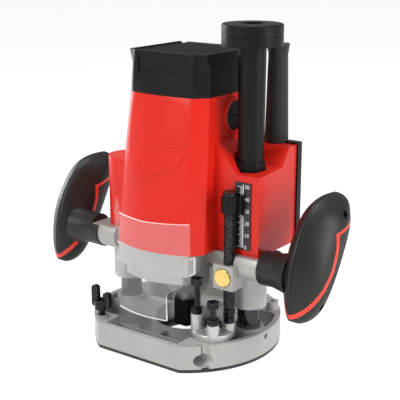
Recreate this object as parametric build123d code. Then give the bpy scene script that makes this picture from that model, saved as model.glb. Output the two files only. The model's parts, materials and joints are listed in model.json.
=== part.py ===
from build123d import *
import os
from math import cos, sin, radians, sqrt

# Plunge router, in millimetres. +Z is up, the depth scale and chip deflector face -Y, the handles
# lie along X. The origin is on the spindle axis, on the underside of the base plate.

os.makedirs("parts", exist_ok=True)

# ---- driving dimensions -------------------------------------------------------------------------
BASE_R = 81.5            # round back of the base
BASE_FLAT = 69.5         # distance of the flat front edge from the spindle
PLATE_T = 3.0            # black sliding plate
WALL_TOP = 23.0          # top of the base casting's rim
WALL_T = 4.5
FLOOR_T = 4.0
HUB_R = 28.0             # bit opening in the casting
PLATE_HOLE_R = 20.0      # bit opening in the plate
ROD_R = 6.0              # fence rod bores
ROD_Z = 10.4
ROD_Y = (-56.5, 45.0)

COL_X = 64.0             # guide columns
COL_R = 9.5
COL_TOP = 143.0
COL_BORE_R = 7.0
COL_SEAT = 70.0          # depth of the spring pocket in a column
BOSS_TOP = 24.0          # column bosses of the base
BOSS_R = 13.4             # runs into the rim, so it is wider than the gap beside the column

TURRET = (50.3, -32.2)   # centre of the stop turret
TURRET_R = 17.4
TURRET_Z = (23.2, 28.3)
STOP_R = 13.1            # pitch radius of the stop bolts
STOP_ANGLES = (31.0, -55.0, -145.0)
STOP_TOPS = (45.9, 56.6, 72.0)
STOP_BOSS_TOPS = (34.6, 37.0, 42.0)

BRACKET_TOP = 92.0       # joint plane between the bracket and the motor housing
SKIRT_Z = 74.0
NOSE_ARC_R = 82.6        # convex front of the bracket and housing
NOSE_HALF = 36.5
NOSE_Y = 48.0
GUIDE_BOSS_R = 15.0
GUIDE_BOTTOM = 43.0
GUIDE_TOP = 150.0
BUSH_GAP = 0.03

POLE = (61.5, -25.5)     # depth stop pole
POLE_R = 4.7
POLE_PITCH = 2.2
BLOCK_X = (50.8, 69.8)
BLOCK_Y = (-33.0, -6.0)
BLOCK_Z = (64.5, 85.0)
BUTTON_X = 60.2
BUTTON_Z = 74.7
BUTTON_R = 7.6

HOUSING_TOP = 217.0
COVER_TOP = 251.0
WALL = 3.0
WING_R = 18.0
WING_TOP = 154.0
BOX_X = 84.5             # right tower
BOX_Y = (-19.0, 37.0)
RECESS_Z = 157.0         # floor under the height knob
KNOB_TOP = 275.0
KNOB_R = 24.3
TUBE_R = 10.6

PLATE_X = 124.0          # parting plane of a handle
HANDLE_Y, HANDLE_Z = -2.5, 100.6
HANDLE_TILT = 31.0       # the grips lean back at the top
STUB_Y, STUB_Z, STUB_R = -14.0, 84.0, 14.0
STUB_X = 88.0            # face of the bracket's arm


def box(x, y, z):
    """Box between two values on each axis."""
    solid = Solid.make_box(x[1] - x[0], y[1] - y[0], z[1] - z[0])
    return solid.moved(Location((x[0], y[0], z[0])))


def rod(x, y, z0, z1, r):
    """Upright cylinder."""
    return Solid.make_cylinder(r, z1 - z0, Plane((x, y, z0)))


def tube(x, y, z0, z1, r_out, r_in):
    return rod(x, y, z0, z1, r_out) - rod(x, y, z0 - 1, z1 + 1, r_in)


def bar(p, d, length, r):
    """Cylinder from point p along direction d."""
    return Solid.make_cylinder(r, length, Plane(origin=p, z_dir=d))


def cone(x, y, z0, z1, r0, r1):
    return Solid.make_cone(r0, r1, z1 - z0, Plane((x, y, z0)))


def prism(points, z0, z1):
    """Upright prism on a polygon."""
    return extrude(Plane((0, 0, z0)) * make_face(Polyline(*points, close=True)), z1 - z0)


def hexagon(x, y, z0, z1, flats):
    return extrude(Plane((x, y, z0)) * RegularPolygon(flats / 2, 6, major_radius=False), z1 - z0)


def polar(r, angle, centre=(0.0, 0.0)):
    return centre[0] + r * cos(radians(angle)), centre[1] + r * sin(radians(angle))


def mirrored(part):
    return mirror(part, about=Plane.YZ)


def rounded(part, radius, chooser):
    """Fillet the chosen edges, keeping the plain part where the radius doesn't fit."""
    edges = chooser(part.edges())
    for r in (radius, radius * 0.6, radius * 0.3):
        try:
            result = fillet(edges, r)
            if result.is_valid:
                return result
        except Exception:
            continue
    return part


# ---- base ---------------------------------------------------------------------------------------
def base_outline(inset):
    """Round at the back and cut straight at the front."""
    disc = Circle(BASE_R - inset)
    keep = Pos(0, BASE_R - BASE_FLAT + inset) * Rectangle(4 * BASE_R, 2 * BASE_R)
    return disc & keep


def base_slab(inset, z0, z1):
    return extrude(Plane((0, 0, z0)) * base_outline(inset), z1 - z0)


SCREW_SPOTS = ((30, -38), (-30, -38), (34, 26), (-34, 26))


def base_plate():
    plate = base_slab(0.3, 0, PLATE_T)
    plate -= rod(0, 0, -1, PLATE_T + 1, PLATE_HOLE_R)
    for x, y in SCREW_SPOTS:
        plate -= rod(x, y, -1, PLATE_T + 1, 2.1)
        plate -= cone(x, y, 0, 2.2, 4.2, 2.1)
    return plate


def base_plate_screws():
    screws = []
    for x, y in SCREW_SPOTS:
        screw = cone(x, y, 0.2, 2.2, 3.9, 2.0) + rod(x, y, 0.2, 11, 2.0)
        screw -= box((x - 3, x + 3), (y - 0.5, y + 0.5), (0, 1.0))
        screws.append(screw)
    return Compound(children=[Solid(s.solid().wrapped) for s in screws])


def rod_blocks():
    """Bosses in the four corners that carry the fence rods."""
    front = box((38, 62), (ROD_Y[0] - 9, ROD_Y[0] + 9), (PLATE_T, WALL_TOP))
    rear = box((44, 72), (ROD_Y[1] - 9, ROD_Y[1] + 9), (PLATE_T, WALL_TOP))
    blocks = front + rear
    return blocks + mirrored(blocks)


def base_casting():
    body = base_slab(0, PLATE_T, WALL_TOP)
    body -= base_slab(WALL_T, PLATE_T + FLOOR_T, WALL_TOP + 1)
    inside = base_slab(WALL_T - 1, PLATE_T, WALL_TOP)
    body += rod_blocks() & inside
    deck = box((-76, 76), (-14, 14), (PLATE_T, 19.5)) & inside
    body += deck
    body += rod(0, 0, PLATE_T, 16, HUB_R + 4)
    ribs = box((-1.5, 1.5), (-67, 67), (PLATE_T, 14)) & inside
    body += ribs
    for x in (-22, 22):
        body += box((x - 1.5, x + 1.5), (-67, -40), (PLATE_T, 14)) & inside
    body += box((-40, 40), (-47, -44), (PLATE_T, 15))
    for side in (-1, 1):
        body += rod(side * COL_X, 0, PLATE_T, BOSS_TOP, BOSS_R)
    for x, y in SCREW_SPOTS:
        body += rod(x, y, PLATE_T, 13, 5)
    body += rod(*TURRET, PLATE_T, TURRET_Z[0] - 0.2, 9)
    for side in (-1, 1):
        body += rod(side * 60, ROD_Y[1] - 2, PLATE_T, 31, 6)
    body += rod(-50, ROD_Y[0], PLATE_T, WALL_TOP + 1.5, 5.5)
    body -= rod(0, 0, 0, 30, HUB_R)
    for side in (-1, 1):
        body -= rod(side * COL_X, 0, 6, 40, COL_R)
    for y in ROD_Y:
        body -= bar((-90, y, ROD_Z), (1, 0, 0), 180, ROD_R)
    body -= box((52, 90), (ROD_Y[0] - 0.8, ROD_Y[0] + 0.8), (ROD_Z, 30))
    body -= rod(*polar(BASE_R + 1.5, -43), PLATE_T, 40, 4)
    body -= rod(-50, ROD_Y[0], ROD_Z, 40, 3.05)
    body -= rod(60, ROD_Y[1] - 2, ROD_Z, 40, 2.5)
    body -= rod(-60, ROD_Y[1] - 2, ROD_Z, 40, 2.5)
    body -= bar((BASE_R + 2, 0, 18), (-1, 0, 0), 12, 2.2)
    body -= rod(*TURRET, 8, 40, 2.5)
    for x, y in SCREW_SPOTS:
        body -= rod(x, y, 0, 11.5, 2.0)
    body -= bar(left_set_screw_start(), left_set_screw_dir(), 20, 2.5)
    return body


def left_set_screw_start():
    x, y = polar(BOSS_R + 0.8, -35)
    return (x - COL_X, y, 17.0)


def left_set_screw_dir():
    return (-cos(radians(-35)), -sin(radians(-35)), 0)


def column_set_screws():
    """Set screw that pins the left column in the base."""
    screw = bar(left_set_screw_start(), left_set_screw_dir(), 4.2, 2.5)
    socket = bar(left_set_screw_start(), left_set_screw_dir(), 1.5, 1.2)
    return screw - socket


def column(side):
    x = side * COL_X
    post = rod(x, 0, 6, COL_TOP, COL_R)
    post -= rod(x, 0, COL_SEAT, COL_TOP + 1, COL_BORE_R)
    if side > 0:
        post -= rod(x, 0, COL_SEAT - 15, COL_SEAT + 1, 3.9)
    return rounded(post, 0.8, lambda e: e.group_by(Axis.Z)[-1])


def column_wipers():
    rings = []
    for side in (-1, 1):
        ring = cone(side * COL_X, 0, BOSS_TOP, BOSS_TOP + 3, COL_R + 1.0, COL_R + 0.5)
        ring -= rod(side * COL_X, 0, 20, 40, COL_R)
        rings.append(ring.solid())
    return Compound(children=rings)


def threaded_rod():
    stud = rod(COL_X, 0, COL_SEAT - 15, 252, 3.9)
    grooves = Compound(children=[tube(COL_X, 0, 160 + 2.5 * i, 161.2 + 2.5 * i, 5, 3.4).solid()
                                 for i in range(36)])
    return stud - grooves


# ---- stop turret --------------------------------------------------------------------------------
def stop_spot(index):
    return polar(STOP_R, STOP_ANGLES[index], TURRET)


def stopper_turret():
    body = rod(*TURRET, *TURRET_Z, TURRET_R)
    body = rounded(body, 1.2, lambda e: e.group_by(Axis.Z)[-1])
    body += rod(*TURRET, TURRET_Z[0], 30.5, 7.5)
    for i, top in enumerate(STOP_BOSS_TOPS):
        body += rod(*stop_spot(i), TURRET_Z[0], top, 5.1)
    for i, top in enumerate(STOP_BOSS_TOPS):
        body -= rod(*stop_spot(i), TURRET_Z[0] - 1, top + 1, 2.3)
    body -= rod(*TURRET, 20, 40, 3.1)
    return body


def turret_cap():
    """Shouldered pivot screw with a wide spring washer."""
    cap = rod(*TURRET, 30.6, 33.6, 7.6) + rod(*TURRET, 33.6, 36.5, 5.4)
    cap -= hexagon(*TURRET, 34.5, 37, 5)
    cap += rod(*TURRET, TURRET_Z[0], 31, 3.0) + rod(*TURRET, 10, 24, 2.5)
    return cap


def stop_bolt(index):
    x, y = stop_spot(index)
    top = STOP_TOPS[index]
    bolt = hexagon(x, y, top - 5.2, top, 9.4) & cone(x, y, top - 5.2, top + 12, 8.2, 2.2)
    bolt += rod(x, y, TURRET_Z[0] + 1, top - 5, 2.2)
    if index:
        bolt -= rod(x, y, top - 1.2, top + 1, 2.6)
    return bolt


def stop_lock_nuts():
    nuts = []
    for i, z in enumerate(STOP_BOSS_TOPS):
        x, y = stop_spot(i)
        nut = hexagon(x, y, z, z + 4.6, 8.6) - rod(x, y, z - 1, z + 6, 2.3)
        nuts.append(nut.solid())
    return Compound(children=nuts)


def fence_thumb_screw():
    x, y = -50.0, ROD_Y[0]
    body = rod(x, y, 16.6, 31, 3.0)
    hub = rod(x, y, 30, 38, 6.2)
    wings = box((x - 9.6, x - 3.2), (y - 2.2, y + 2.2), (31.5, 50))
    wings += box((x + 3.2, x + 9.6), (y - 2.2, y + 2.2), (31.5, 45.5))
    wings = rounded(wings, 2.0, lambda e: e.filter_by(Axis.Y))
    return body + hub + wings - rod(x, y, 36, 60, 3.4)


# ---- bracket ------------------------------------------------------------------------------------
def nose_face(inset, half, back):
    """Plan outline with the convex front, closed by a straight back edge."""
    mid = NOSE_Y + NOSE_ARC_R - sqrt(NOSE_ARC_R ** 2 - NOSE_HALF ** 2) - inset
    edge = NOSE_Y - inset
    lines = ThreePointArc((-half, -edge), (0, -mid), (half, -edge))
    sides = Polyline((half, -edge), (half, back), (-half, back), (-half, -edge))
    return make_face([lines, sides])


def bracket_arm(side):
    """Boss that carries a handle."""
    arm = bar((side * 60, STUB_Y, STUB_Z), (side, 0, 0), STUB_X - 60, 13.0)
    arm += bar((side * 60, STUB_Y, STUB_Z), (side, 0, 0), 42, 8.0)
    return arm & box((-130, 130), (-40, 40), (40, BRACKET_TOP))


def motor_bracket():
    body = extrude(Plane((0, 0, SKIRT_Z)) * nose_face(0, NOSE_HALF, 48), BRACKET_TOP - SKIRT_Z)
    body += extrude(Plane((0, 0, 66)) * nose_face(1.5, 30, 30), 9)
    body = body - cone(0, -8, 60, 76, 40, 24)
    body += cone(0, 0, 43.5, 67, 17, 27) + rod(0, 0, 66, 80, 27)
    body += box((30, COL_X), (-22, 20), (80, BRACKET_TOP))
    body += box((-COL_X, -30), (-22, 20), (80, BRACKET_TOP))
    body += box((28, COL_X), (-6, 12), (50, 82)) + box((-COL_X, -28), (-6, 12), (50, 82))
    for side in (-1, 1):
        x = side * COL_X
        body += rod(x, 0, GUIDE_BOTTOM, BRACKET_TOP, GUIDE_BOSS_R)
        body += rod(x, 0, BRACKET_TOP, GUIDE_TOP, 13.5)
        body += bracket_arm(side)
    body += box(BLOCK_X, BLOCK_Y, BLOCK_Z)
    body += box((60, 80), (8, 22), (66, 84))
    body += bar((0, 14, LOCK_Z), (0, 1, 0), 25, 8)
    for side in (-1, 1):
        x = side * COL_X
        body -= rod(x, 0, GUIDE_BOTTOM - 1, GUIDE_TOP - 3, COL_R + 0.4)
        body -= rod(x, 0, GUIDE_BOTTOM + 1, GUIDE_BOTTOM + 15, 11.5)
        body -= rod(x, 0, 86, 100, 11.5)
        body -= bar((side * 104, STUB_Y, STUB_Z), (-side, 0, 0), 20, 2.5)
    body -= rod(COL_X, 0, 100, 160, 4.6)
    body -= rod(0, 0, 78, 100, 17.5)
    body -= rod(0, 0, 40, 90, 12.5)
    body -= rod(*POLE, 50, 95, POLE_R + 0.25)
    body -= bar((BUTTON_X, BLOCK_Y[0] - 1, BUTTON_Z), (0, 1, 0), 21.5, BUTTON_R + 0.15)
    body -= bar((72, 50, 75), (0, -1, 0), 40, 2.55)
    body -= box((68, 82), (16.5, 17.5), (60, 90))
    body -= bar((0, 5, LOCK_Z), (0, 1, 0), 40, 3.0)
    body -= bar((0, 41, LOCK_Z), (0, 1, 0), 20, 6.3)
    for x, y in HOUSING_SCREWS:
        body -= rod(x, y, 60, 100, 2.2)
        body -= rod(x, y, 60, 83, 4.2)
    return body


LOCK_Z = 70.5

HOUSING_SCREWS = ((-31, 42.5), (31, 42.5), (-29, -44), (25, -44))


def guide_bushes():
    bushes = []
    for side in (-1, 1):
        for z in (GUIDE_BOTTOM + 1, 86):
            ring = tube(side * COL_X, 0, z, z + 14, 11.5, COL_R + BUSH_GAP)
            bushes.append(ring.solid())
    return Compound(children=bushes)


def column_spring(side):
    """Compression spring that lifts the motor, in the pocket of a column."""
    height = GUIDE_TOP - 3 - COL_SEAT
    wire = 1.3
    turns = 9
    path = Helix(pitch=(height - wire) / turns, height=height - wire, radius=5.6)
    section = Plane(origin=path @ 0, z_dir=path % 0) * Circle(wire / 2)
    coil = sweep(section, path=path, is_frenet=True)
    return Pos(side * COL_X, 0, COL_SEAT + wire / 2) * coil


def lock_lever():
    """Lever that clamps the bracket to the right column."""
    lever = bar((72, 22.3, 75), (0, 1, 0), 9, 8)
    blade = box((73, 101), (23.5, 30.5), (70.5, 79.5))
    blade = rounded(blade, 3.5, lambda e: e.filter_by(Axis.Y).group_by(Axis.X)[-1])
    lever += blade
    return lever - bar((72, 20, 75), (0, 1, 0), 20, 2.5)


def lock_bolt():
    bolt = bar((72, 12, 75), (0, 1, 0), 21, 2.4) + bar((72, 31.4, 75), (0, 1, 0), 3.5, 4.5)
    return bolt


# ---- depth stop ---------------------------------------------------------------------------------
def stop_pole():
    pole = rod(*POLE, 49, 143, POLE_R) + rod(*POLE, 45.95, 49.5, 3.6)
    for i in range(35):
        z = 50 + POLE_PITCH * i
        pole -= tube(*POLE, z, z + POLE_PITCH / 2, 6, POLE_R - 0.65)
    return pole


def depth_pointer():
    """Head that carries the pointer beside the scale."""
    head = tube(*POLE, 128, 141.5, 7.0, POLE_R + 0.1)
    head = rounded(head, 1.0, lambda e: e.group_by(Axis.Z)[-1] + e.group_by(Axis.Z)[0])
    arm = box((POLE[0] + 5.5, 71.5), (-24.5, -18), (128.5, 141))
    arm += box((69.8, 72.0), (-22.4, -18), (126.5, 143))
    clear = BOX_Y[0] - 1.3
    return (head + arm) & box((40, 90), (-60, clear), (100, 160))


def pole_knob():
    return rod(*POLE, 143, 145.5, 5.6) + rod(*POLE, 141.6, 143, 5.2)


def fast_feed_button():
    button = bar((BUTTON_X, BLOCK_Y[0] - 1.6, BUTTON_Z), (0, 1, 0), 18, BUTTON_R)
    button = rounded(button, 0.8, lambda e: e.group_by(Axis.Y)[0])
    slot = box((POLE[0] - 4.95, POLE[0] + 4.95), (POLE[1] - 7.3, POLE[1] + 4.95), (60, 90))
    return button - slot


def scale_plate():
    """Depth scale from 0 to 50, engraved every millimetre."""
    face = BOX_Y[0] - 0.9
    plate = box((62.5, 77.5), (face, BOX_Y[0]), (97, 152.5))
    zero = 99.2
    for i in range(51):
        length = 5.0 if i % 10 == 0 else (3.6 if i % 5 == 0 else 2.4)
        z = zero + i
        plate -= box((70.0 - length, 70.0), (face - 1, face + 0.25), (z - 0.18, z + 0.18))
    plate -= box((70.0, 70.6), (face - 1, face + 0.25), (98, 151.5))
    return plate


# ---- motor housing ------------------------------------------------------------------------------
def body_section(z, half, edge, mid, side, shoulder, back, inset):
    """Plan section of the motor body: convex front, bevelled corners, square back."""
    a = (half - inset * 0.4, -edge + inset)
    c = (side - inset, -shoulder + inset * 0.4)
    d = (side - inset, back - 6)
    e = (side - 6 - inset * 0.4, back - inset)
    arc = ThreePointArc((-a[0], a[1]), (0, -mid + inset), a)
    rest = Polyline(a, c, d, e, (-e[0], e[1]), (-d[0], d[1]), (-c[0], c[1]), (-a[0], a[1]))
    return Plane((0, 0, z)) * make_face([arc, rest])


SECTIONS = (
    (BRACKET_TOP, 36.5, 48.0, 56.5, 45.0, 37.5, 50.0),
    (172.0, 33.0, 38.0, 43.0, 42.5, 29.0, 50.0),
    (HOUSING_TOP, 30.5, 33.0, 36.0, 40.0, 23.5, 49.0),
)
COVER_SECTIONS = (
    (HOUSING_TOP, 30.5, 33.0, 36.0, 40.0, 23.5, 49.0),
    (239.0, 30.0, 32.0, 33.0, 39.6, 21.5, 48.0),
    (COVER_TOP, 29.3, 31.0, 31.6, 38.6, 26.0, 47.0),
)


def lofted(sections, inset, lift=0.0):
    faces = [body_section(z + lift * (i == len(sections) - 1), *rest, inset)
             for i, (z, *rest) in enumerate(sections)]
    return loft(faces, ruled=True)


def tower(inset):
    """Switch tower around the right column."""
    y0, y1 = BOX_Y[0] + inset, BOX_Y[1] - inset
    outline = [(y0, BRACKET_TOP), (y0, 158 - inset), (15, 160 - inset), (25 + inset, 175 - inset),
               (y1, 175 - inset), (y1, BRACKET_TOP)]
    face = make_face(Polyline(*outline, close=True))
    plane = Plane(origin=(36, 0, 0), x_dir=(0, 1, 0), z_dir=(1, 0, 0))
    return extrude(plane * face, BOX_X - inset - 36)


def tower_shoulder():
    """Scooped shoulder between the tower's top and the motor body."""
    face = make_face(Polyline((36, 150), (36, 186), (46, 176), (55, 168), (62, 160), (68, 155),
                              close=True))
    plane = Plane(origin=(0, BOX_Y[0], 0), x_dir=(1, 0, 0), z_dir=(0, -1, 0))
    wedge = extrude(plane * face, -(30 - BOX_Y[0]))
    return wedge - rod(COL_X, 0, RECESS_Z, 200, 13.5)


def wing(inset):
    body = rod(-COL_X, 0, BRACKET_TOP, WING_TOP - inset, WING_R - inset)
    body += box((-COL_X, -36), (-WING_R + inset, WING_R - inset), (BRACKET_TOP, WING_TOP - inset))
    return body


BRUSH_Y, BRUSH_Z = 10.0, 199.0


def motor_housing():
    outer = lofted(SECTIONS, 0) + tower(0) + wing(0)
    inner = lofted(SECTIONS, WALL, 1) + tower(WALL) + wing(WALL)
    body = outer - inner
    body += tower_shoulder() - lofted(SECTIONS, WALL, 1) - tower(WALL)
    body -= rod(COL_X, 0, RECESS_Z, 230, 12.6)
    body += rod(COL_X, 0, RECESS_Z - 4, RECESS_Z, 15) & tower(0)
    body -= rod(COL_X, 0, 140, 200, 4.6)
    body -= rod(64, 38.5, 160, 190, 8.5)
    for side in (-1, 1):
        rim = bar((side * 36, BRUSH_Y, BRUSH_Z), (side, 0, 0), 6.6, 15.5)
        rim -= lofted(SECTIONS, WALL, 1)
        body += rim
        body -= bar((side * 30, BRUSH_Y, BRUSH_Z), (side, 0, 0), 20, 12.5)
    body += housing_feet()
    for x, y in HOUSING_SCREWS:
        body -= rod(x, y, 90, 104, 2.0)
    for x, y in COVER_SCREWS:
        body += rod(x, y, 198, HOUSING_TOP, 4.5) & lofted(SECTIONS, 0)
        body -= rod(x, y, 200, HOUSING_TOP + 1, 2.0)
    return body


def housing_feet():
    feet = rod(0, 0, 0, 1, 1)
    for i, (x, y) in enumerate(HOUSING_SCREWS):
        foot = rod(x, y, BRACKET_TOP, 106, 5) & lofted(SECTIONS, 0.5)
        feet = foot if i == 0 else feet + foot
    return feet


COVER_SCREWS = ((-33.5, 42), (33.5, 42), (-29, -25), (29, -25))


def housing_screws():
    screws = []
    for x, y in HOUSING_SCREWS:
        screws.append((rod(x, y, 79, 83, 3.4) + rod(x, y, 82, 102, 1.95)).solid())
    for x, y in COVER_SCREWS:
        screws.append((rod(x, y, 221, 225, 3.4) + rod(x, y, 202, 222, 1.95)).solid())
    return Compound(children=screws)


def top_cover():
    outer = lofted(COVER_SECTIONS, 0)
    inner = lofted(COVER_SECTIONS, WALL, 1)
    body = outer - inner
    panel = lofted(COVER_SECTIONS, WALL - 1) & box((-60, 60), (-60, 60), (246.5, 250.2))
    for i in range(11):
        y = -25 + 6.2 * i
        chevron = [(-34, y + 5), (0, y - 3), (34, y + 5), (34, y + 8), (0, y), (-34, y + 8)]
        slot = prism(chevron, 230, 260) & box((-34, 34), (-27, 44), (230, 260))
        panel -= slot
    body += panel
    body -= box((-60, 60), (41, 60), (250.2, 260))
    recess = box((-25, 23), (-40, -31.2), (234, 249))
    body -= recess
    body += lofted(COVER_SECTIONS, 1.6) & box((-26, 24), (-34, -28), (233, 249.4))
    for x, y in COVER_SCREWS:
        body += rod(x, y, HOUSING_TOP, 243, 4.5) & lofted(COVER_SECTIONS, 1)
        body -= rod(x, y, 210, 226, 2.1)
        body -= rod(x, y, 221, 260, 3.6)
    body -= rod(COL_X, 0, 200, 260, 14.5)
    return body


def nameplate():
    """Blank panel on the front of the motor body."""
    shape = [(-29, 172), (27.5, 178.5), (28.5, 174.5), (21, 160.5), (0, 153.5), (-22, 149.5)]
    plane = Plane(origin=(0, -70, 0), x_dir=(1, 0, 0), z_dir=(0, -1, 0))
    block = extrude(plane * make_face(Polyline(*shape, close=True)), -45)
    plate = lofted(SECTIONS, -0.9) & block
    return plate - lofted(SECTIONS, 0)


def rear_cover():
    body = box((48, 86.0), (BOX_Y[1], 45), (96, 176.5))
    body = rounded(body, 2.5, lambda e: e.filter_by(Axis.Z).group_by(Axis.Y)[-1])
    body -= box((51, 83), (BOX_Y[1] - 1, 42), (99, 173))
    body -= rod(64, 38.5, 160, 190, 10.2)
    return body


def cord_guard():
    """Tapered rubber boot for the mains cord."""
    body = cone(64, 38.5, 175.0, 250, 10.0, 8.0) + cone(64, 38.5, 248, 256, 8.2, 9.4)
    body += rod(64, 38.5, 168, 176, 8.4)
    return body - rod(64, 38.5, 150, 260, 4.6)


# ---- height adjustment --------------------------------------------------------------------------
def height_nut():
    ring = tube(COL_X, 0, RECESS_Z + 0.1, 165.5, 11.9, 4.6)
    for i in range(18):
        x, y = polar(12.2, i * 20, (COL_X, 0))
        ring -= rod(x, y, 150, 170, 1.15)
    return ring


def height_knob():
    body = cone(COL_X, 0, 165.6, 260, TUBE_R, TUBE_R - 0.3 + 0.9)
    disc = rod(COL_X, 0, 258, KNOB_TOP, KNOB_R)
    disc = rounded(disc, 1.6, lambda e: e.group_by(Axis.Z)[-1])
    disc -= tube(COL_X, 0, 265.3, 266.3, KNOB_R + 1, KNOB_R - 0.7)
    body += disc
    body -= rod(COL_X, 0, 160, 256, 4.6)
    body -= rod(COL_X, 0, 262, 290, 8.8)
    return body


# ---- motor inside -------------------------------------------------------------------------------
def spindle():
    shaft = rod(0, 0, 40, 222, 6.0) + rod(0, 0, 35.5, 78, 9.2) + rod(0, 0, 18.2, 36, 8.3)
    return shaft - rod(0, 0, 10, 46, 7.6)


def collet():
    cone_part = tube(0, 0, 18.2, 44, 7.55, 6.0)
    for i in range(4):
        slit = box((5, 9), (-0.4, 0.4), (17, 36)).moved(Location((0, 0, 0), (0, 0, 90 * i)))
        cone_part -= slit
    return cone_part


def collet_nut():
    nut = hexagon(0, 0, 11.6, 35.4, 22.0) & cone(0, 0, 11.6, 60, 12.6, 16)
    return nut - rod(0, 0, 18.2, 40, 8.35) - rod(0, 0, 10, 20, 6.0)


def spindle_bearings():
    """Ball bearings at both ends of the motor shaft."""
    lower = tube(0, 0, 78, 90, 17.45, 6.05)
    upper = tube(0, 0, 212.5, 220, 12.95, 6.05)
    return Compound(children=[lower.solid(), upper.solid()])


def fan():
    body = tube(0, 0, 98, 100, 32, 6.0) + tube(0, 0, 98, 112, 11, 6.0)
    for i in range(12):
        blade = box((10, 32), (-0.9, 0.9), (99.5, 111)).moved(Location((0, 0, 0), (0, 0, 30 * i)))
        body += blade
    return body


def fan_baffle():
    return tube(0, 0, 114, 116, 38.5, 29)


def armature():
    return tube(0, 0, 122, 180, 22, 6.0) + tube(0, 0, 116, 188, 13, 6.0)


def commutator():
    return tube(0, 0, 190, 207, 12, 6.0)


def stator():
    body = tube(0, 0, 120, 182, 36.5, 22.8)
    return body & box((-36.5, 36.5), (-32.5, 36.5), (120, 182))


def bearing_bridge():
    """Cross bar that holds the upper bearing, above the brushes."""
    body = box((-36.4, 36.4), (-10, 10), (210, 214)) + rod(0, 0, 210, 221, 16)
    body += box((-36.4, -33), (-10, 10), (190, 210)) + box((33, 36.4), (-10, 10), (190, 210))
    body -= rod(0, 0, 212.5, 230, 13.0)
    body -= rod(0, 0, 200, 230, 8.0)
    for side in (-1, 1):
        body -= bar((side * 30, 0, 199), (side, 0, 0), 10, 6)
    return body


def brush_holders():
    parts = []
    for side in (-1, 1):
        body = box((min(side * 14, side * 36.0), max(side * 14, side * 36.0)), (-5, 5), (193, 205))
        body &= bar((side * 14, 0, 199), (side, 0, 0), 24, 5.9)
        body -= box((min(side * 10, side * 40), max(side * 10, side * 40)), (-3.1, 3.1), (195, 203))
        parts.append(body.solid())
    return Compound(children=parts)


def carbon_brushes():
    parts = []
    for side in (-1, 1):
        x = sorted((side * 12.1, side * 28))
        parts.append(box(x, (-3, 3), (195.1, 202.9)))
    return Compound(children=parts)


def brush_caps():
    parts = []
    for side in (-1, 1):
        cap = bar((side * 37.2, BRUSH_Y, BRUSH_Z), (side, 0, 0), 3.5, 12.4)
        slot = box(sorted((side * 39.6, side * 42)), (BRUSH_Y - 7, BRUSH_Y + 7),
                   (BRUSH_Z - 1.2, BRUSH_Z + 1.2))
        parts.append((cap - slot).solid())
    return Compound(children=parts)


def shaft_lock_button():
    """Spring pin at the back of the bracket that holds the spindle."""
    pin = bar((0, 12.2, LOCK_Z), (0, 1, 0), 32, 2.9) + bar((0, 44, LOCK_Z), (0, 1, 0), 5, 6.0)
    return pin


# ---- chip deflector -----------------------------------------------------------------------------
def chip_deflector():
    """Clear screen in front of the bit, hooked on the sides of the bracket."""
    back, front = NOSE_ARC_R + 1.0, NOSE_ARC_R + 3.0
    centre_y = NOSE_ARC_R - (NOSE_Y + NOSE_ARC_R - sqrt(NOSE_ARC_R ** 2 - NOSE_HALF ** 2))
    sheet = tube(0, centre_y, 35, 131, front, back) & box((-39, 39), (-70, -40), (35, 131))
    for side in (-1, 1):
        x = sorted((side * 37.0, side * 39.0))
        sheet += box(x, (-49, -41), (76, 90))
    profile = [(-33.5, 35), (21, 35.5), (21, 59), (39, 70), (39, 119.5), (0, 117.5), (-31, 118.5),
               (-35, 130.5), (-39, 118.5), (-39, 64), (-33.5, 60)]
    plane = Plane(origin=(0, -80, 0), x_dir=(1, 0, 0), z_dir=(0, -1, 0))
    return sheet & extrude(plane * make_face(Polyline(*profile, close=True)), -60)


# ---- handles ------------------------------------------------------------------------------------
GRIP_PLANE = Plane(origin=(0, HANDLE_Y, HANDLE_Z), z_dir=(1, 0, 0),
                   x_dir=(0, sin(radians(HANDLE_TILT)), cos(radians(HANDLE_TILT))))


# long-axis station, front edge, back edge, outward bulge, inward bulge
GRIP_STATIONS = (
    (-56.0, 0.5, -6.0, 4.0, 4.0),
    (-53.0, 4.0, -12.0, 8.5, 7.5),
    (-44.0, 10.5, -18.5, 14.5, 12.5),
    (-28.0, 18.5, -20.5, 19.0, 17.0),
    (-8.0, 24.0, -20.5, 21.0, 19.0),
    (14.0, 23.3, -20.5, 21.0, 19.0),
    (32.0, 18.0, -20.5, 19.0, 17.0),
    (44.0, 7.5, -20.5, 14.0, 13.0),
    (52.0, -5.0, -19.5, 8.0, 8.0),
    (54.5, -9.5, -16.5, 3.5, 3.5),
)
GRIP_REACH = 55.0        # half length, half depth and half width, which set how an inset shrinks a grip
GRIP_DEPTH = 22.0
GRIP_WIDTH = 20.0


def grip_section(s, front, back, outward, inward, inset):
    """Section of a grip across its long axis: thin at the front edge, full towards the back."""
    depth = front - back
    points = [(front, 0), (front - 0.20 * depth, 0.58 * outward), (front - 0.58 * depth, outward),
              (back + 0.10 * depth, 0.86 * outward), (back, 0), (back + 0.07 * depth, -0.72 * inward),
              (front - 0.55 * depth, -inward), (front - 0.20 * depth, -0.58 * inward)]
    shrink = [1 - inset / size for size in (GRIP_REACH, GRIP_DEPTH, GRIP_WIDTH)]
    placed = [GRIP_PLANE.from_local_coords((s * shrink[0], t * shrink[1], PLATE_X + x * shrink[2]))
              for t, x in points]
    return make_face(Spline(*placed, periodic=True))


def grip_solid(inset):
    """Smooth pod of a grip, shrunk by an inset."""
    return loft([grip_section(*station, inset) for station in GRIP_STATIONS]).solid()


STRIPE = ((43, -23), (17.5, 3.5), (7, 0), (-10, -2.5), (-27, -1.5), (-43, 1), (-60, 4.5))


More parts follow.
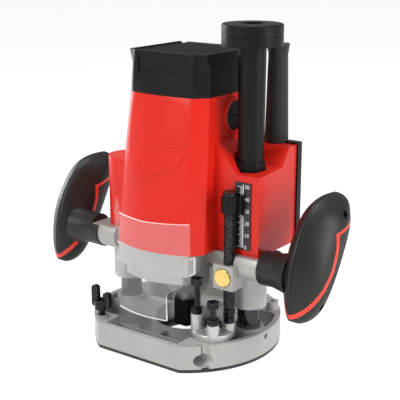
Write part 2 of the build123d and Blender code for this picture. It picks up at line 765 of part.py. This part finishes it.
def stripe_zone(offset_front, offset_back):
    """Prism between two lines parallel to the red inlay's path."""
    front = [(s, t + offset_front) for s, t in STRIPE]
    back = [(s, t - offset_back) for s, t in reversed(STRIPE)]
    face = make_face(Polyline(*front, *back, close=True))
    return extrude(GRIP_PLANE.offset(90) * face, 70)


def grip_zone():
    """Prism behind the red inlay, where the rubber lies."""
    edge = [(s, t - 1.7) for s, t in STRIPE]
    face = make_face(Polyline(*edge, (-60, -40), (42, -40), close=True))
    return extrude(GRIP_PLANE.offset(90) * face, 70)


SKIN = 1.8


def local_bar(s, t, x0, x1, r):
    """Cylinder along X at a place on the grip."""
    p = GRIP_PLANE.from_local_coords((s, t, 0))
    return bar((x0, p.Y, p.Z), (1, 0, 0), x1 - x0, r)


TRIGGER = ((2, 30), (109.5, 120.5))
HANDLE_SCREWS = ((35.4, -3.5), (-39.0, -12.0))
HEAD_X = 129.0           # seat of the closing screws


def trigger_block(grow, top, bottom):
    (s0, s1), (x0, x1) = TRIGGER
    block = Solid.make_box(s1 - s0 + 2 * grow, top - bottom, x1 - x0 + 2 * grow)
    place = GRIP_PLANE * Location((s0 - grow, bottom, x0 - grow))
    return block.moved(place)


def handle_parts():
    """The right handle's pieces."""
    pod = grip_solid(0)
    core = grip_solid(SKIN)
    cavity = grip_solid(4.2)
    skin = pod - core
    grip = skin & grip_zone()
    inlay = skin & stripe_zone(1.7, 1.7)
    stub = bar((STUB_X + 0.2, STUB_Y, STUB_Z), (1, 0, 0), 118 - STUB_X, STUB_R)
    stub += Solid.make_cone(STUB_R, 17, 14, Plane(origin=(100, STUB_Y, STUB_Z), z_dir=(1, 0, 0)))
    stub = stub - bar((PLATE_X - 6, STUB_Y, STUB_Z), (1, 0, 0), 10, 20)
    grip -= stub
    inlay -= stub
    for i in range(3):
        slab = Solid.make_box(46, 1.1, 30).moved(GRIP_PLANE * Location((-30, -9.5 - 3 * i, PLATE_X)))
        grip -= slab & (pod - grip_solid(0.8))
    shell = (pod - grip_zone() - stripe_zone(1.7, 1.7)) + (core - cavity)
    shell = shell + (stub - cavity) - cavity
    shell -= bar((STUB_X - 1, STUB_Y, STUB_Z), (1, 0, 0), 17, 8.1)
    shell -= bar((STUB_X - 1, STUB_Y, STUB_Z), (1, 0, 0), 30, 2.6)
    shell -= bar((108.4, STUB_Y, STUB_Z), (1, 0, 0), 10, 5.2)
    for s, t in HANDLE_SCREWS:
        shell += local_bar(s, t, 106, 142, 4.2) & grip_solid(SKIN + 0.1)
        recess = local_bar(s, t, HEAD_X, 150, 3.3)
        shell -= local_bar(s, t, PLATE_X - 1, HEAD_X + 1, 1.6)
        shell -= local_bar(s, t, 112.5, PLATE_X, 1.5)
        shell -= recess
        grip -= recess
        inlay -= recess
    shell -= trigger_block(-0.4, 4.1, -8.1)
    seam = box((PLATE_X - 0.4, PLATE_X + 0.4), (-90, 90), (20, 190)) - grip_solid(0.6)
    shell -= seam
    grip -= seam
    outer = shell & box((PLATE_X, 160), (-90, 90), (20, 190))
    inner = shell & box((60, PLATE_X), (-90, 90), (20, 190))
    return inner, outer, grip, inlay


def handle_screws():
    """The screws that close a grip."""
    screws = []
    for s, t in HANDLE_SCREWS:
        head = local_bar(s, t, HEAD_X, HEAD_X + 2.6, 2.9) - local_bar(s, t, HEAD_X + 1.4, HEAD_X + 3, 1.2)
        screw = (head + local_bar(s, t, 113, HEAD_X + 0.5, 1.5)).solid()
        screws += [screw, mirrored(screw).solid()]
    return Compound(children=screws)


def left_collar():
    """Skirt of the left handle over the bracket's arm."""
    start = (-STUB_X - 0.2, STUB_Y, STUB_Z)
    ring = bar(start, (1, 0, 0), 8.5, STUB_R + 0.2) - bar(start, (1, 0, 0), 11, 13.1)
    return ring & box((-100, -70), (-40, 40), (40, BRACKET_TOP - 0.3))


def handle_bolts():
    """Bolts that hold the handles on the bracket's arms."""
    bolts = []
    for side in (-1, 1):
        shank = bar((side * 88.6, STUB_Y, STUB_Z), (side, 0, 0), 21, 2.45)
        head = bar((side * 108.5, STUB_Y, STUB_Z), (side, 0, 0), 4, 4.6)
        bolts.append((shank + head).solid())
    return Compound(children=bolts)


def trigger_switch():
    """Mains switch behind the trigger."""
    return trigger_block(-0.5, 4, -8)


# ---- assembly -----------------------------------------------------------------------------------
def many(shape, least=1.0):
    solids = [s for s in shape.solids() if s.volume > least]
    return Compound(children=solids) if len(solids) > 1 else solids[0]


def all_nodes():
    inner, outer, grip, inlay = handle_parts()
    nodes = {
        "base_plate": base_plate(),
        "base_plate_screws": base_plate_screws(),
        "base_casting": base_casting(),
        "left_column": column(-1),
        "right_column": column(1),
        "column_wipers": column_wipers(),
        "column_set_screw": column_set_screws(),
        "height_stud": threaded_rod(),
        "stopper_turret": stopper_turret(),
        "turret_pivot_screw": turret_cap(),
        "short_stop_bolt": stop_bolt(0),
        "middle_stop_bolt": stop_bolt(1),
        "tall_stop_bolt": stop_bolt(2),
        "stop_lock_nuts": stop_lock_nuts(),
        "fence_thumb_screw": fence_thumb_screw(),
        "motor_bracket": motor_bracket(),
        "guide_bushes": guide_bushes(),
        "left_column_spring": column_spring(-1),
        "right_column_spring": column_spring(1),
        "lock_lever": lock_lever(),
        "lock_bolt": lock_bolt(),
        "stop_pole": stop_pole() + pole_knob(),
        "depth_pointer": depth_pointer(),
        "fast_feed_button": fast_feed_button(),
        "scale_plate": scale_plate(),
        "motor_housing": motor_housing(),
        "housing_screws": housing_screws(),
        "top_cover": top_cover(),
        "nameplate": nameplate(),
        "rear_cover": rear_cover(),
        "cord_guard": cord_guard(),
        "height_nut": height_nut(),
        "height_knob": height_knob(),
        "spindle": spindle(),
        "collet": collet(),
        "collet_nut": collet_nut(),
        "spindle_bearings": spindle_bearings(),
        "fan": fan(),
        "fan_baffle": fan_baffle(),
        "handle_screws": handle_screws(),
        "handle_bolts": handle_bolts(),
        "trigger_switch": trigger_switch(),
        "armature": armature(),
        "commutator": commutator(),
        "stator": stator(),
        "bearing_bridge": bearing_bridge(),
        "brush_holders": brush_holders(),
        "carbon_brushes": carbon_brushes(),
        "brush_caps": brush_caps(),
        "shaft_lock_button": shaft_lock_button(),
        "chip_deflector": chip_deflector(),
        "right_handle_inner": inner - trigger_block(0.4, 0, -30),
        "right_handle_outer": outer,
        "right_grip": grip - trigger_block(0.4, 0, -30),
        "right_inlay": inlay,
        "left_handle_inner": mirrored(inner) + left_collar(),
        "left_handle_outer": mirrored(outer),
        "left_grip": mirrored(grip),
        "left_inlay": mirrored(inlay),
        "trigger": trigger_block(0, -14, -23.5),
    }
    return nodes


if __name__ == "__main__":
    for name, shape in all_nodes().items():
        solids = many(shape)
        export_step(solids, f"parts/{name}.step")
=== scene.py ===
import bpy
import bmesh
import json
from math import radians
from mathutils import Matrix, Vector
from mathutils.bvhtree import BVHTree


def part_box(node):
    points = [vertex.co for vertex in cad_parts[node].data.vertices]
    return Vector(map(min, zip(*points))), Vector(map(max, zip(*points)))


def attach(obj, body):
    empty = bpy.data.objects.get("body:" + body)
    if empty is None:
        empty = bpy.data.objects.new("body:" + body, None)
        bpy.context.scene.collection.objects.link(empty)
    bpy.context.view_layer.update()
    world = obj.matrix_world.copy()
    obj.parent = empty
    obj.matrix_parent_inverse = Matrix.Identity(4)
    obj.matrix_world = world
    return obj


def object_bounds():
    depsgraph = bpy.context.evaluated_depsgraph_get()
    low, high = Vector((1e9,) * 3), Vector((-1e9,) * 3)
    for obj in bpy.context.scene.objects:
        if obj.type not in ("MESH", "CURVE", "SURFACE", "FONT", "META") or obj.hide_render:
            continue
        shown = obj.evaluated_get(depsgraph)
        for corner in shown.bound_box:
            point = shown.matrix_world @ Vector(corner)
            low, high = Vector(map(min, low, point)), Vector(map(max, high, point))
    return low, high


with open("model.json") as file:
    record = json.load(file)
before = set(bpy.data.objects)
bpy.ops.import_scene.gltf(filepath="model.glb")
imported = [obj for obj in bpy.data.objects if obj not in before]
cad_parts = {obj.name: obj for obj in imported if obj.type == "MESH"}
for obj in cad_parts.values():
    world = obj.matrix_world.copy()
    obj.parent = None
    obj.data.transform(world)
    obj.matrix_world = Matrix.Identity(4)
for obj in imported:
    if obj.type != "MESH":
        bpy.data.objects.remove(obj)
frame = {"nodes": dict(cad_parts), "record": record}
cad_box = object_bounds()
NODES = frame["nodes"]
MM = 0.001

# printed scale, metres
LINE_INSET = 7.6 * MM      # from the plate's left edge to the long white rule
LINE_WIDTH = 0.7 * MM
ZERO_RISE = 2.2 * MM       # from the plate's lower edge to the zero mark
SCALE_LENGTH = 52 * MM
MARK_HALF = 0.2 * MM
MARK_REACH = {10: 5.2 * MM, 5: 3.8 * MM, 1: 2.6 * MM}   # length of a mark, by its step in mm
MARKS = 51
PRINT_LIFT = 0.05 * MM
PRINT_DEPTH = 0.15 * MM
NUMBER_SIZE = 4.4 * MM
NUMBER_DEPTH = 0.06 * MM
NUMBER_GAP = 1.7 * MM      # from the rule's left edge to the numbers
NUMBERS = 6

# studio
FLOOR_HALF = 6.0
FLOOR_GAP = 0.0002
LIGHTS_AIM = (0, 0, 0.12)
LIGHTS = {                 # place, size, power
    "key": ((-0.35, -1.2, 0.9), (0.7, 0.9), 9.5),
    "side": ((1.3, 0.1, 0.6), (0.35, 1.1), 9.5),
    "top": ((0.0, 0.1, 1.5), (0.9, 0.9), 11),
    "left": ((-1.25, 0.15, 0.5), (0.25, 0.9), 9),
}
WORLD_STRENGTH = 0.36
CAMERA_PLACE = (0.4799, -0.6366, 0.3460)
CAMERA_DOWN = 15.67        # degrees below level
CAMERA_TURN = 36.23        # degrees round from the front
CAMERA_LENS = 87.39
CAMERA_SENSOR = 36

BEVEL_SAMPLES = 6
SHARP_DOT = 0.82           # bevelled against true normal where an edge counts as fully sharp


# ---- node helpers -------------------------------------------------------------------------------
class Shade:
    """A material with one Principled BSDF and short ways to add its procedural detail."""

    def __init__(self, name, colour, roughness, metallic=0.0):
        self.mat = bpy.data.materials.new(name)
        self.mat.use_nodes = True
        self.tree = self.mat.node_tree
        self.bsdf = self.tree.nodes["Principled BSDF"]
        self.bsdf.inputs["Metallic"].default_value = metallic
        self.colour = colour
        self.roughness = roughness
        self.place = self.node("ShaderNodeTexCoord").outputs["Object"]
        self.bump_out = None
        self.tint_out = None
        self.rough_out = None

    def node(self, kind, **values):
        made = self.tree.nodes.new(kind)
        for key, value in values.items():
            setattr(made, key, value)
        return made

    def link(self, a, b):
        self.tree.links.new(a, b)

    def scaled(self, stretch):
        mapping = self.node("ShaderNodeMapping")
        mapping.inputs["Scale"].default_value = stretch
        self.link(self.place, mapping.inputs["Vector"])
        return mapping.outputs["Vector"]

    def noise(self, size, detail=3.0, stretch=(1, 1, 1), kind="ShaderNodeTexNoise"):
        """Noise whose blobs are about size metres across."""
        made = self.node(kind)
        made.inputs["Scale"].default_value = 1 / size
        if "Detail" in made.inputs:
            made.inputs["Detail"].default_value = detail
        self.link(self.scaled(stretch), made.inputs["Vector"])
        return made.outputs["Fac" if kind == "ShaderNodeTexNoise" else "Distance"]

    def ranged(self, value, low, high, out_low, out_high):
        made = self.node("ShaderNodeMapRange")
        for key, number in zip(("From Min", "From Max", "To Min", "To Max"),
                               (low, high, out_low, out_high)):
            made.inputs[key].default_value = number
        self.link(value, made.inputs["Value"])
        return made.outputs["Result"]

    def mixed(self, factor, a, b):
        made = self.node("ShaderNodeMix", data_type="RGBA")
        self.link(factor, made.inputs["Factor"])
        for socket, value in ((made.inputs[6], a), (made.inputs[7], b)):
            if isinstance(value, tuple):
                socket.default_value = (*value, 1)
            else:
                self.link(value, socket)
        return made.outputs[2]

    def edges(self, radius, spread=0.02):
        """1 on sharp edges, 0 on flat faces."""
        bevel = self.node("ShaderNodeBevel")
        bevel.inputs["Radius"].default_value = radius
        bevel.samples = BEVEL_SAMPLES
        geometry = self.node("ShaderNodeNewGeometry")
        dot = self.node("ShaderNodeVectorMath", operation="DOT_PRODUCT")
        self.link(bevel.outputs["Normal"], dot.inputs[0])
        self.link(geometry.outputs["Normal"], dot.inputs[1])
        return self.ranged(dot.outputs["Value"], 1.0 - spread, SHARP_DOT, 0.0, 1.0)

    def vary(self, size, amount, detail=4.0):
        """Slow drift of the base colour."""
        low = tuple(c * (1 - amount) for c in self.colour)
        high = tuple(min(1.0, c * (1 + amount)) for c in self.colour)
        factor = self.ranged(self.noise(size, detail), 0.3, 0.7, 0, 1)
        self.tint_out = self.mixed(factor, low, high)

    def over(self, factor, colour):
        """Paints a colour over the base where the factor is 1."""
        self.tint_out = self.mixed(factor, self.tint_out or self.colour, colour)

    def rub(self, radius, size, amount, colour, spread=0.02):
        """Paints another colour over the base in patches along the edges: wear, and on black steel
        partly a painted glint.
        """
        worn = self.node("ShaderNodeMath", operation="MULTIPLY")
        self.link(self.edges(radius, spread), worn.inputs[0])
        self.link(self.ranged(self.noise(size, 5), 0.42, 0.62, 0, amount), worn.inputs[1])
        self.over(worn.outputs[0], colour)

    def rough(self, size, spread, detail=3.0, stretch=(1, 1, 1)):
        value = self.noise(size, detail, stretch)
        self.rough_out = self.ranged(value, 0.3, 0.7, self.roughness - spread, self.roughness + spread)

    def bump(self, height, depth):
        """Adds a height map; depth is in metres."""
        made = self.node("ShaderNodeBump")
        made.inputs["Strength"].default_value = 1.0
        made.inputs["Distance"].default_value = depth
        self.link(height, made.inputs["Height"])
        if self.bump_out:
            self.link(self.bump_out, made.inputs["Normal"])
        self.bump_out = made.outputs["Normal"]

    def done(self, **sockets):
        if self.tint_out:
            self.link(self.tint_out, self.bsdf.inputs["Base Color"])
        else:
            self.bsdf.inputs["Base Color"].default_value = (*self.colour, 1)
        if self.rough_out:
            self.link(self.rough_out, self.bsdf.inputs["Roughness"])
        else:
            self.bsdf.inputs["Roughness"].default_value = self.roughness
        if self.bump_out:
            self.link(self.bump_out, self.bsdf.inputs["Normal"])
        for name, value in sockets.items():
            self.bsdf.inputs[name.replace("_", " ")].default_value = value
        return self.mat


# ---- materials ----------------------------------------------------------------------------------
def moulded(name, colour, roughness, grain=0.00035, depth=0.000012, wear=None, vary=0.06):
    """Injection-moulded plastic: fine spark texture, slow sheen drift, rubbed edges."""
    s = Shade(name, colour, roughness)
    s.vary(0.03, vary)
    if wear:
        s.rub(0.0005, 0.005, 0.3, wear, 0.12)
    s.rough(0.02, 0.03)
    s.bump(s.noise(grain, 2), depth)
    s.bump(s.noise(0.03, 1), 0.00003)
    return s


def red_plastic():
    s = moulded("red_plastic", (0.70, 0.017, 0.008), 0.33, wear=(0.86, 0.10, 0.06), vary=0.04)
    return s.done(Specular_IOR_Level=0.3, Coat_Weight=0.04, Coat_Roughness=0.15)


def black_plastic():
    s = moulded("black_plastic", (0.005, 0.005, 0.0047), 0.42, grain=0.0005, depth=0.00003,
                wear=(0.03, 0.029, 0.028))
    return s.done(Specular_IOR_Level=0.2)


def handle_plastic():
    s = moulded("handle_plastic", (0.014, 0.013, 0.012), 0.42, grain=0.0007, depth=0.00004,
                wear=(0.06, 0.057, 0.053))
    return s.done(Specular_IOR_Level=0.4)


def rubber():
    """Soft grip rubber with a tight dotted grain."""
    s = Shade("rubber", (0.022, 0.022, 0.021), 0.62)
    s.vary(0.02, 0.15)
    s.rough(0.008, 0.06)
    s.bump(s.noise(0.0011, 0, kind="ShaderNodeTexVoronoi"), 0.00018)
    s.bump(s.noise(0.0004, 2), 0.00002)
    return s.done(Specular_IOR_Level=0.3, Sheen_Weight=0.15)


def coral():
    s = moulded("coral_inlay", (0.85, 0.045, 0.022), 0.36, wear=(0.95, 0.30, 0.22))
    return s.done(Specular_IOR_Level=0.5)


def cast(name, colour, metallic, roughness, grit=0.0011, depth=0.00010):
    """Sand-cast aluminium: pebbled skin, dust in the grain, brighter rubbed edges."""
    s = Shade(name, colour, roughness, metallic)
    s.vary(0.025, 0.05, 6)
    s.over(s.ranged(s.noise(0.0014, 4), 0.62, 0.78, 0, 0.35), tuple(c * 0.62 for c in colour))
    s.rub(0.0008, 0.003, 0.6, tuple(min(1, c * 1.3) for c in colour))
    s.rough(0.006, 0.07, 5)
    s.bump(s.noise(grit, 5), depth)
    s.bump(s.noise(0.012, 2), 0.00012)
    return s


def base_paint():
    return cast("base_casting_grey", (0.42, 0.415, 0.395), 0.15, 0.44).done(Specular_IOR_Level=0.5)


def cast_bare():
    return cast("bare_casting", (0.43, 0.42, 0.40), 0.30, 0.42, grit=0.0009).done()


def machined():
    """Turned face of the turret."""
    s = cast("machined_casting", (0.57, 0.56, 0.54), 0.55, 0.34, grit=0.0007, depth=0.00004)
    return s.done()


def dark_chrome():
    """Polished column with fine grinding marks along its axis."""
    s = Shade("dark_chrome", (0.055, 0.055, 0.06), 0.14, 1.0)
    s.vary(0.02, 0.08)
    s.rough(0.0016, 0.04, 4, (1, 1, 0.05))
    s.bump(s.noise(0.0005, 2, (1, 1, 0.03)), 0.000004)
    return s.done(Specular_IOR_Level=0.5)


def black_steel():
    """Black oxide, worn to grey on its edges; the grey edges also serve as painted glints on the
    thread crests.
    """
    s = Shade("black_steel", (0.009, 0.009, 0.010), 0.28, 0.5)
    s.vary(0.004, 0.25)
    # grey edge colour: partly wear, partly painted glints along the thread edges
    s.rub(0.0005, 0.002, 0.8, (0.42, 0.42, 0.41))
    s.rough(0.003, 0.08)
    s.bump(s.noise(0.0006, 4), 0.00002)
    return s.done()


def steel():
    s = Shade("zinc_steel", (0.50, 0.50, 0.49), 0.30, 1.0)
    s.vary(0.005, 0.10)
    s.rough(0.002, 0.08, 4)
    s.bump(s.noise(0.0006, 3, (1, 1, 0.2)), 0.000012)
    return s.done()


def brass():
    """Turned brass with a faint tarnish."""
    s = Shade("brass", (0.83, 0.60, 0.20), 0.27, 0.9)
    s.vary(0.004, 0.10)
    s.over(s.ranged(s.noise(0.0012, 4), 0.66, 0.80, 0, 0.2), (0.55, 0.36, 0.11))
    s.rough(0.0015, 0.08, 4)
    s.bump(s.noise(0.0006, 3), 0.000004)
    return s.done()


def clear_sheet():
    """Faces of the clear moulded sheet, with a thin veil of scuffs."""
    s = Shade("clear_sheet", (0.96, 0.97, 0.98), 0.08)
    s.rough(0.01, 0.03)
    s.bump(s.noise(0.015, 2), 0.00004)
    scuffs = s.ranged(s.noise(0.0025, 6, (1, 1, 0.3)), 0.60, 0.75, 0.07, 0.13)
    s.link(scuffs, s.bsdf.inputs["Alpha"])
    return s.done(IOR=1.49, Specular_IOR_Level=0.5)


def clear_edge_glow():
    """Cut edges of the clear sheet: painted near-white, with a faint painted glow for the light that
    gathers there.
    """
    s = Shade("clear_edge_glow", (0.98, 0.99, 1.0), 0.15)
    s.vary(0.004, 0.03)
    s.bump(s.noise(0.0012, 3), 0.00003)
    # near-white colour, alpha and emission: a painted highlight and painted glow along the sheet's cut
    # edges
    s.bsdf.inputs["Alpha"].default_value = 0.8
    s.bsdf.inputs["Emission Color"].default_value = (1, 1, 1, 1)
    return s.done(Emission_Strength=0.25)


def plate_black():
    s = moulded("sole_plate", (0.016, 0.016, 0.016), 0.38, depth=0.00002)
    return s.done()


def scale_black():
    s = moulded("scale_black", (0.018, 0.018, 0.020), 0.35, depth=0.000008)
    return s.done()


def white_print():
    s = Shade("white_print", (0.82, 0.83, 0.82), 0.5)
    s.vary(0.002, 0.1)
    s.bump(s.noise(0.0003, 2), 0.000006)
    return s.done()


def copper():
    s = Shade("copper", (0.70, 0.33, 0.18), 0.30, 1.0)
    s.vary(0.004, 0.12)
    s.rough(0.003, 0.08)
    s.bump(s.noise(0.001, 3), 0.00002)
    return s.done()


def iron():
    """Stacked laminations."""
    s = Shade("laminated_iron", (0.11, 0.11, 0.115), 0.5, 0.7)
    s.vary(0.006, 0.15)
    s.bump(s.noise(0.001, 1, (0.02, 0.02, 1)), 0.0001)
    return s.done()


def carbon():
    s = Shade("pressed_carbon", (0.02, 0.02, 0.022), 0.6)
    s.vary(0.001, 0.2)
    s.bump(s.noise(0.0004, 3), 0.00003)
    return s.done()


def felt():
    s = Shade("felt", (0.04, 0.04, 0.038), 0.9)
    s.vary(0.001, 0.3)
    s.bump(s.noise(0.0004, 5), 0.0002)
    return s.done(Sheen_Weight=0.3)


# record slot -> material
FINISH = {
    "red": red_plastic(), "black": black_plastic(), "clear": clear_sheet(),
    "cast_paint": base_paint(), "cast_bare": cast_bare(), "steel": steel(),
    "black_steel": black_steel(), "polished": dark_chrome(), "brass": brass(),
    "rubber": rubber(), "coral": coral(), "plate_black": plate_black(), "scale": scale_black(),
    "copper": copper(), "iron": iron(), "carbon": carbon(),
    "felt": felt(),
}
HANDLE = handle_plastic()
MACHINED = machined()
PRINT = white_print()
# edge material of the clear sheet, with a painted glow
SHEET_EDGE_GLOW = clear_edge_glow()
SHEET = 4 * MM     # any wall thicker than this is seen along the sheet, so it is a cut edge


# ---- CAD nodes ----------------------------------------------------------------------------------
SOFT_EDGE = {
    "motor_housing": 0.9, "motor_bracket": 0.8, "base_casting": 0.7, "top_cover": 0.7,
    "stopper_turret": 0.4, "rear_cover": 0.5, "lock_lever": 0.5, "trigger": 0.6,
    "fence_thumb_screw": 0.4, "depth_pointer": 0.4, "right_handle_outer": 0.3,
    "right_handle_inner": 0.3, "left_handle_outer": 0.3, "left_handle_inner": 0.3,
    "chip_deflector": 0.25, "base_plate": 0.3, "cord_guard": 0.4, "height_nut": 0.2,
}


def dress_nodes():
    """Gives every CAD node its material, and softens the moulded and cast edges."""
    slots = {row["node"]: row["material_slot"] for row in frame["record"]["subparts"]}
    for name, piece in NODES.items():
        finish = HANDLE if "handle_" in name and "screws" not in name and "bolts" not in name \
            else FINISH[slots[name]]
        if name == "stopper_turret":
            finish = MACHINED
        piece.data.materials.clear()
        piece.data.materials.append(finish)
        if name in SOFT_EDGE:
            weld = piece.modifiers.new("weld", "WELD")
            weld.merge_threshold = 0.00001
            bevel = piece.modifiers.new("soft_edge", "BEVEL")
            bevel.width = SOFT_EDGE[name] * MM
            bevel.segments = 3
            bevel.limit_method = "ANGLE"
            bevel.angle_limit = radians(32)
            bevel.harden_normals = False
            bevel.use_clamp_overlap = True


dress_nodes()


def paint_edge_glow(piece):
    """Puts the painted-glow edge material on the cut edges of a thin sheet."""
    solid = BVHTree.FromPolygons([v.co for v in piece.data.vertices],
                                 [p.vertices for p in piece.data.polygons])
    piece.data.materials.append(SHEET_EDGE_GLOW)
    for face in piece.data.polygons:
        inside = face.center - face.normal * 0.05 * MM
        hit = solid.ray_cast(inside, -face.normal)
        if hit[3] is None or hit[3] > SHEET:
            face.material_index = 1


paint_edge_glow(NODES["chip_deflector"])


# ---- printed depth scale ------------------------------------------------------------------------
def printed_scale():
    """White rule, graduations and numbers on the face of the scale plate."""
    low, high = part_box("scale_plate")
    face = low.y - PRINT_LIFT
    zero = low.z + ZERO_RISE
    line_x = low.x + LINE_INSET
    work = bmesh.new()

    def strip(x0, x1, z0, z1):
        corners = [work.verts.new((x, y, z)) for y in (face, face + PRINT_DEPTH)
                   for x, z in ((x0, z0), (x1, z0), (x1, z1), (x0, z1))]
        order = ((0, 1, 2, 3), (7, 6, 5, 4), (0, 4, 5, 1), (1, 5, 6, 2), (2, 6, 7, 3), (3, 7, 4, 0))
        for ring in order:
            work.faces.new([corners[i] for i in ring])

    strip(line_x, line_x + LINE_WIDTH, zero - 0.5 * MM, zero + SCALE_LENGTH)
    for i in range(MARKS):
        reach = MARK_REACH[next(step for step in (10, 5, 1) if i % step == 0)]
        z = zero + i * MM
        strip(line_x - reach, line_x - 0.1 * MM, z - MARK_HALF, z + MARK_HALF)
    mesh = bpy.data.meshes.new("scale_lines")
    work.to_mesh(mesh)
    work.free()
    lines = bpy.data.objects.new("scale_lines", mesh)
    bpy.context.scene.collection.objects.link(lines)
    lines.data.materials.append(PRINT)
    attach(lines, "motor_unit")
    for step in range(NUMBERS):
        curve = bpy.data.curves.new(f"number_{step}", "FONT")
        curve.body = str(step * 10)
        curve.size = NUMBER_SIZE
        curve.extrude = NUMBER_DEPTH
        curve.align_x = "LEFT"
        curve.align_y = "CENTER"
        number = bpy.data.objects.new(f"scale_number_{step}", curve)
        bpy.context.scene.collection.objects.link(number)
        number.rotation_euler = (radians(90), 0, 0)
        number.location = (line_x + NUMBER_GAP, face + PRINT_LIFT, zero + step * 10 * MM)
        curve.materials.append(PRINT)
        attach(number, "motor_unit")


printed_scale()


# ---- stage --------------------------------------------------------------------------------------
def floor():
    mesh = bpy.data.meshes.new("floor")
    corners = [(x * FLOOR_HALF, y * FLOOR_HALF, 0) for x, y in ((-1, -1), (1, -1), (1, 1), (-1, 1))]
    mesh.from_pydata(corners, [], [(0, 1, 2, 3)])
    plane = bpy.data.objects.new("floor", mesh)
    bpy.context.scene.collection.objects.link(plane)
    plane.location.z = cad_box[0][2] - FLOOR_GAP
    paper = bpy.data.materials.new("paper")
    paper.use_nodes = True
    paint = paper.node_tree.nodes["Principled BSDF"].inputs
    paint["Base Color"].default_value = (0.30, 0.30, 0.30, 1)
    paint["Roughness"].default_value = 0.9
    paint["Specular IOR Level"].default_value = 0.0
    paint["Emission Color"].default_value = (1, 1, 1, 1)
    paint["Emission Strength"].default_value = 0.84
    mesh.materials.append(paper)


def area(name, place, size, power):
    light = bpy.data.lights.new(name, "AREA")
    light.shape = "RECTANGLE"
    light.size, light.size_y = size
    light.energy = power
    lamp = bpy.data.objects.new(name, light)
    bpy.context.scene.collection.objects.link(lamp)
    lamp.location = place
    lamp.rotation_euler = (Vector(LIGHTS_AIM) - Vector(place)).to_track_quat("-Z", "Y").to_euler()


def studio():
    """White backdrop for the camera, softer light on the object, and the soft boxes."""
    world = bpy.data.worlds.new("studio")
    bpy.context.scene.world = world
    world.use_nodes = True
    tree = world.node_tree
    soft = tree.nodes["Background"]
    soft.inputs["Color"].default_value = (0.98, 0.99, 1.0, 1)
    soft.inputs["Strength"].default_value = WORLD_STRENGTH
    backdrop = tree.nodes.new("ShaderNodeBackground")
    backdrop.inputs["Color"].default_value = (1, 1, 1, 1)
    seen = tree.nodes.new("ShaderNodeLightPath")
    choice = tree.nodes.new("ShaderNodeMixShader")
    tree.links.new(seen.outputs["Is Camera Ray"], choice.inputs["Fac"])
    tree.links.new(soft.outputs["Background"], choice.inputs[1])
    tree.links.new(backdrop.outputs["Background"], choice.inputs[2])
    tree.links.new(choice.outputs["Shader"], tree.nodes["World Output"].inputs["Surface"])
    for name, (place, size, power) in LIGHTS.items():
        area(name, place, size, power)
    bpy.context.scene.view_settings.view_transform = "Standard"
    bpy.context.scene.view_settings.look = "None"


def camera():
    lens = bpy.data.cameras.new("camera")
    lens.lens = CAMERA_LENS
    lens.sensor_width = CAMERA_SENSOR
    eye = bpy.data.objects.new("camera", lens)
    bpy.context.scene.collection.objects.link(eye)
    eye.location = CAMERA_PLACE
    eye.rotation_euler = (radians(90 - CAMERA_DOWN), 0, radians(CAMERA_TURN))
    bpy.context.scene.camera = eye


floor()
studio()
camera()
